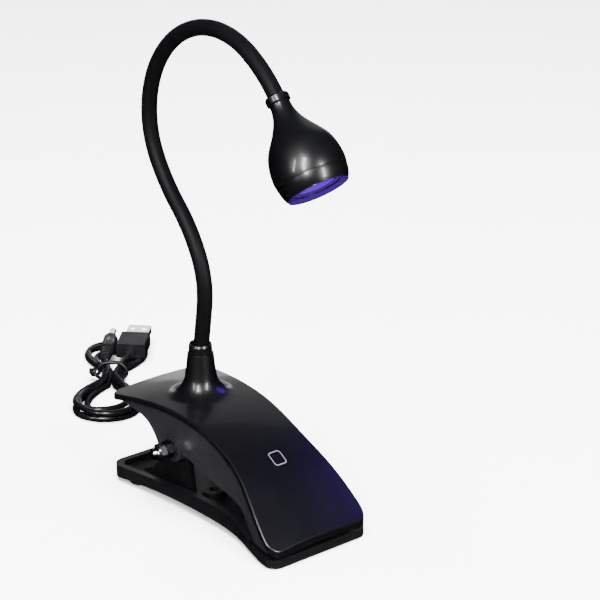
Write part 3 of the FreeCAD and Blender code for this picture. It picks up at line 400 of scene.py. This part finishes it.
def tied_lead():
    """Round lead in a hank of drop-shaped loops, held by a twist tie."""
    route = lead_route()
    lead = nurbs("lead_cord", route, CORD_DIAMETER / 2, cord_vinyl)
    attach(lead, "lower_jaw")
    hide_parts("cable_hank")


TIE_RADIUS = 0.95 * MM
# the tie's wire in the hank's own frame: its first end, once round the bundle, and the twisted knot
TIE_END = [(2.4, 10.6, 2.6), (1.2, 10.4, 2.8), (-0.3, 9.4, 3.4), (0.3, 8.2, 3.2)]
TIE_RING = [(0.6, 6.6, 4.0), (0.2, 7.0, 7.6), (0.0, 4.2, 9.9), (-0.2, 0.0, 10.3), (0.2, -4.2, 9.8),
            (0.5, -7.2, 6.4), (0.3, -7.3, 2.8), (0.0, -4.6, 0.96), (-0.2, 0.0, 0.96), (-0.5, 5.2, 0.96),
            (-0.7, 7.6, 2.6)]
TIE_KNOT = [(-0.9, 8.6, 4.2), (0.9, 9.7, 5.0), (1.0, 9.2, 6.6), (-0.8, 8.4, 6.2), (-1.4, 9.8, 5.2),
            (-0.2, 11.0, 4.4), (1.5, 11.3, 4.6), (2.7, 11.2, 5.4)]


def twist_tie():
    """Plastic-coated wire wound once round the bundle, its two ends twisted together at the side."""
    points = [hank_point(*point) for point in TIE_END + TIE_RING + TIE_KNOT]
    wire = nurbs("twist_tie", points, TIE_RADIUS, plug_vinyl, sides=4, smooth=8)
    only(wire)
    bpy.ops.object.convert(target="MESH")
    tie = settle(bpy.context.object, "twist_tie")
    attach(tie, "lower_jaw")
    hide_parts("cable_tie")


# ---------------------------------------------------------------- neck
NECK_START = Vector((-25.8, 0.0, 66.4)) * MM
NECK_HEADING = math.radians(10.0)
NECK_BENDS = (-2.5, -35.0, -19.5, 17.5, 35.0, 30.0, 27.0, 27.0, 30.0, 21.5)
NECK_TURNS = [math.radians(bend) for bend in NECK_BENDS]
NECK_PIECE = 23.8 * MM
NECK_RADIUS = 3.6 * MM
NECK_SIDES = 40
STEPS_PER_ARC = 8


def neck_arcs():
    """Half arcs of the neck as (start, heading, turn), two for each neck piece."""
    place, heading, arcs = NECK_START.copy(), NECK_HEADING, []
    for turn in NECK_TURNS:
        for half in range(2):
            arcs.append((place.copy(), heading, turn / 2))
            radius = NECK_PIECE / turn
            across = Vector((math.cos(heading), 0, -math.sin(heading)))
            centre = place + across * radius
            heading += turn / 2
            place = centre - Vector((math.cos(heading), 0, -math.sin(heading))) * radius
    arcs.append((place.copy(), heading, 0.0))
    return arcs


def sleeve_span(name, arcs):
    """A ring of the sleeve, spun along one half arc after another and closed at both ends."""
    start, lean, _ = arcs[0]
    clear_selection()
    bpy.ops.mesh.primitive_circle_add(vertices=NECK_SIDES, radius=NECK_RADIUS, fill_type="NOTHING",
                                      location=start, rotation=(0, lean, 0))
    piece = bpy.context.object
    bpy.ops.object.transform_apply(location=True, rotation=True, scale=True)
    bpy.ops.object.mode_set(mode="EDIT")
    bpy.ops.mesh.select_all(action="SELECT")
    for place, heading, turn in arcs:
        centre = place + Vector((math.cos(heading), 0, -math.sin(heading))) * (NECK_PIECE / (2 * turn))
        bpy.ops.mesh.spin(steps=STEPS_PER_ARC, angle=-turn, center=centre, axis=(0, 1, 0))
    bpy.ops.mesh.select_all(action="SELECT")
    bpy.ops.mesh.fill_holes(sides=0)
    settle(piece, name)
    dress(piece, neck_rubber)
    return piece


def flexible_neck():
    """Smooth rubber sleeve in spans, each curved over one of the neck's joints."""
    arcs = neck_arcs()
    first = sleeve_span("neck_sleeve_0", arcs[0:1])
    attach(first, "upper_jaw")
    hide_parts("neck_1")
    for joint in range(1, 10):
        span = sleeve_span(f"neck_sleeve_{joint}", arcs[2 * joint - 1:2 * joint + 1])
        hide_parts(f"neck_{joint + 1}")
        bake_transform(span)
    last = sleeve_span("neck_sleeve_10", arcs[19:20])
    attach(last, "head")


# ---------------------------------------------------------------- spring
SPRING_SMOOTH = 35       # degrees between faces


def clip_spring():
    """Torsion spring, a smoothed copy of the CAD spring in its rest shape."""
    spring = copy_of("torsion_spring", "clip_spring")
    settle(spring, "clip_spring", SPRING_SMOOTH)
    dress(spring, spring_wire)
    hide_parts("torsion_spring")
    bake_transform(spring)


# ---------------------------------------------------------------- touch mark
MARK_CENTRE = Vector((28.4, 0.15, 60.0)) * MM
MARK_SIZE = 6.4 * MM
MARK_LINE = 0.36 * MM
MARK_CORNER = 1.3 * MM
MARK_CORNER_STEPS = 6
MARK_CUTS = 3
MARK_LIFT = 0.03 * MM
MARK_THICKNESS = 0.02 * MM


def touch_mark():
    """Printed rounded square over the touch pad, laid on the curved top."""
    clear_selection()
    bpy.ops.mesh.primitive_plane_add(size=MARK_SIZE, location=MARK_CENTRE)
    mark = bpy.context.object
    bpy.ops.object.mode_set(mode="EDIT")
    bpy.ops.mesh.select_all(action="SELECT")
    bpy.ops.mesh.bevel(offset=MARK_CORNER, segments=MARK_CORNER_STEPS, affect="VERTICES")
    bpy.ops.mesh.inset(thickness=MARK_LINE)
    bpy.ops.mesh.delete(type="FACE")
    bpy.ops.mesh.select_all(action="SELECT")
    bpy.ops.mesh.subdivide(number_cuts=MARK_CUTS)
    bpy.ops.object.mode_set(mode="OBJECT")
    bpy.ops.object.transform_apply(location=True, rotation=True, scale=True)
    wrap = mark.modifiers.new("lay", "SHRINKWRAP")
    wrap.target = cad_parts["top_shell"]
    wrap.wrap_method = "PROJECT"
    wrap.use_project_z = True
    wrap.use_negative_direction = True
    wrap.use_positive_direction = False
    wrap.offset = MARK_LIFT
    only(mark)
    bpy.ops.object.modifier_apply(modifier=wrap.name)
    thick = mark.modifiers.new("thickness", "SOLIDIFY")
    thick.thickness = MARK_THICKNESS
    bpy.ops.object.modifier_apply(modifier=thick.name)
    settle(mark, "touch_mark")
    dress(mark, ink)
    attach(mark, "upper_jaw")


# ---------------------------------------------------------------- head
HEAD_LENGTH = 41.5 * MM
MOUTH_RADIUS = 13.3 * MM
GLOW_EDGE = 0.15 * MM            # inside the mouth's edge
GLOW_LIFT = 0.04 * MM
# the ring's two steps as (distance inside the mouth's edge, how far it goes in)
GLOW_STEPS = ((1.15 * MM, 0.0), (2.45 * MM, -1.55 * MM))
GLOW_WALL = 0.08 * MM
GLOW_SIDES = 96
GLOW_SMOOTH = 20         # degrees between faces


def head_frame():
    """Where the head's own axis starts and how it is turned: Z runs out of its mouth."""
    place, heading, _ = neck_arcs()[-1]
    return Matrix.Translation(place) @ Matrix.Rotation(heading, 4, "Y")


def mouth_glow():
    """Thin lit ring that covers the front ring's chamfer and carries the violet light to the rim."""
    place = head_frame()
    clear_selection()
    bpy.ops.mesh.primitive_circle_add(vertices=GLOW_SIDES, radius=MOUTH_RADIUS - GLOW_EDGE,
                                      fill_type="NOTHING")
    ring = bpy.context.object
    bpy.ops.object.mode_set(mode="EDIT")
    bpy.ops.mesh.select_all(action="SELECT")
    bpy.ops.transform.translate(value=(0, 0, HEAD_LENGTH + GLOW_LIFT))
    for inset, depth in GLOW_STEPS:
        bpy.ops.mesh.extrude_region_move()
        bpy.ops.transform.translate(value=(0, 0, depth))
        size = max(v.co.xy.length for v in selected_points(ring))
        share = (MOUTH_RADIUS - inset) / size
        bpy.ops.transform.resize(value=(share, share, 1), center_override=(0, 0, 0))
    bpy.ops.object.mode_set(mode="OBJECT")
    wall = ring.modifiers.new("wall", "SOLIDIFY")
    wall.thickness = GLOW_WALL
    wall.offset = 0
    bpy.ops.object.modifier_apply(modifier=wall.name)
    ring.matrix_world = place
    settle(ring, "mouth_glow_ring", GLOW_SMOOTH)
    dress(ring, bezel_glow)
    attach(ring, "head")


def selected_points(piece):
    """The vertices selected in edit mode."""
    piece.update_from_editmode()
    return [point for point in piece.data.vertices if point.select]


# ---------------------------------------------------------------- studio
FLOOR_RADIUS = 6.0
AIR_STRENGTH = 0.9
# azimuth and elevation in degrees, distance and size in metres, power in watts
SOFTBOXES = {
    "key_softbox": (34, 34, 1.5, (0.26, 0.8), 42),
    "left_strip": (4, 22, 1.4, (0.12, 0.7), 9),
    "right_strip": (92, 20, 1.3, (0.22, 0.7), 22),
    "top_softbox": (60, 84, 1.6, (1.4, 1.4), 300),
    "horizon_softbox": (234, 4, 2.0, (1.4, 0.3), 3.6),
    "haze_softbox": (224, 33, 1.5, (0.9, 0.75), 1.0),
}
VIOLET_PANEL = (178, 30, 0.8, (0.5, 0.2), 1.7)
VIOLET_TARGET = Vector((40, 0, 40)) * MM
METAL_PANEL = (230, 24, 1.0, (1.2, 0.6), 4.5)
BRIGHT_METAL = ("usb_shell", "dc_barrel", "cap_nut", "pivot_bolt")


def softbox(name, azimuth, elevation, distance, size, energy, target=CAMERA_AIM, tint="#FFFFFF"):
    """A rectangular light that stands round the target and faces it."""
    direction = side_of(math.radians(azimuth), math.radians(elevation))
    clear_selection()
    bpy.ops.object.light_add(type="AREA", location=target + direction * distance)
    lamp = bpy.context.object
    lamp.name = name
    lamp.data.shape = "RECTANGLE"
    lamp.data.size, lamp.data.size_y = size
    lamp.data.energy = energy
    lamp.data.color = colour(tint)[:3]
    aim(lamp, target)
    return lamp


def light_only(lamp, nodes):
    """Keeps a light to the named CAD nodes."""
    lit = bpy.data.collections.new(lamp.name + "_pieces")
    for name in nodes:
        lit.objects.link(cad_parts[name])
    lamp.light_linking.receiver_collection = lit


def studio():
    """Pale floor, pale air that only the camera sees, and softboxes that the polished skins reflect."""
    clear_selection()
    bpy.ops.mesh.primitive_circle_add(vertices=96, radius=FLOOR_RADIUS, fill_type="NGON", location=(0, 0, 0))
    floor = settle(bpy.context.object, "floor")
    dress(floor, studio_floor())
    floor.visible_glossy = False
    world = bpy.data.worlds.new("studio_air")
    bpy.context.scene.world = world
    world.use_nodes = True
    background = world.node_tree.nodes["Background"]
    background.inputs["Color"].default_value = colour("#F2F3F6")
    background.inputs["Strength"].default_value = AIR_STRENGTH
    world.cycles_visibility.glossy = False
    world.cycles_visibility.diffuse = False
    lamps = {name: softbox(name, *setting) for name, setting in SOFTBOXES.items()}
    lamps["top_softbox"].visible_glossy = False
    light_only(softbox("violet_glow", *VIOLET_PANEL, VIOLET_TARGET, "#7A28FF"), ["top_shell"])
    light_only(softbox("metal_fill", *METAL_PANEL, HANK_CENTRE), BRIGHT_METAL)


photographer()
dress_cad()
twist_tie()
tied_lead()
flexible_neck()
clip_spring()
touch_mark()
mouth_glow()
studio()

bpy.context.view_layer.update()
